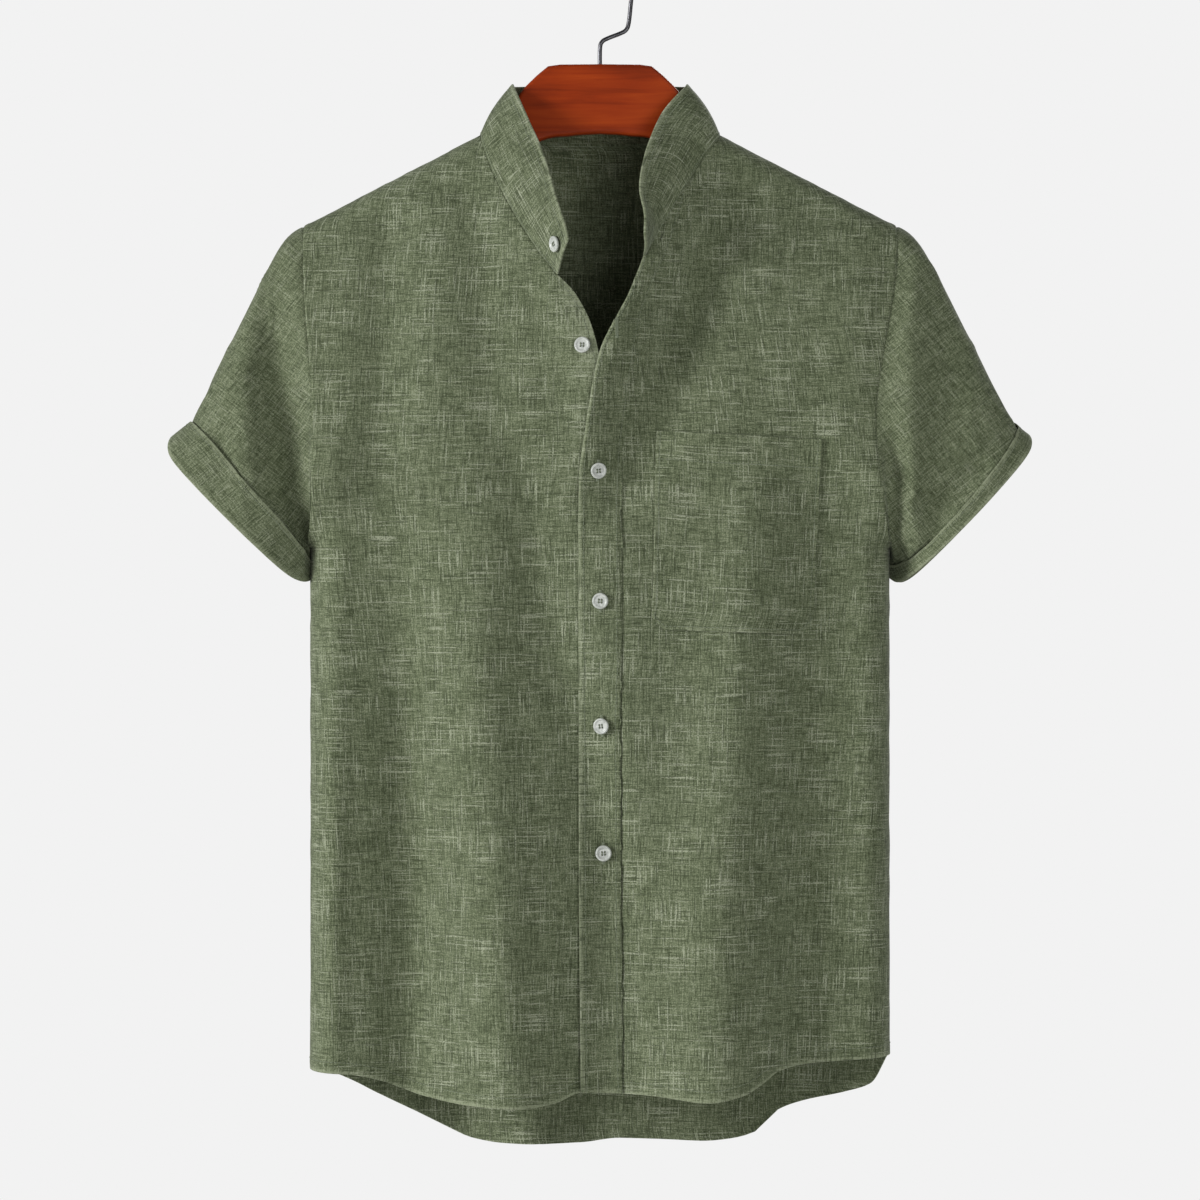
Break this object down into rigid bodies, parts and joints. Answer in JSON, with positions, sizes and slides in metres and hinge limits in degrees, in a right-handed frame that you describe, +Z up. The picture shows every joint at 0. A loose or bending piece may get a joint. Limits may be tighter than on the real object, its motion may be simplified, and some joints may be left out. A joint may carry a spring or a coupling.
{
  "type": "mandarin collar shirt on a wooden hanger",
  "caption": "Short-sleeved button-front shirt with a band collar, chest pocket and turned-up cuffs, hanging on a flat wooden hanger by its wire hook",
  "frame": {"origin": "inside top of the hanger's hook, where a rail of any size up to 40 mm across carries it", "axes": "+Z up, +X to the viewer's right when looking at the buttoned front, +Y from the front towards the back"},
  "size_m": [0.6486, 0.1407, 0.9056],
  "materials": {
    "cloth": "matte slubbed linen weave, grey-green",
    "button": "satin pearl grey",
    "wood": "lacquered red-brown",
    "wire": "dark polished steel"
  },
  "bodies": {
    "root": {"front_right": "cloth", "front_left": "cloth", "placket": "cloth", "yoke": "cloth", "back": "cloth", "sleeve_right": "cloth", "sleeve_left": "cloth", "cuff_right": "cloth", "cuff_left": "cloth", "collar": "cloth", "pocket": "cloth", "button_1": "button", "button_2": "button", "button_3": "button", "button_4": "button", "button_5": "button", "button_6": "button", "hanger_wood": "wood", "hanger_hook": "wire"}
  },
  "joints": []
}
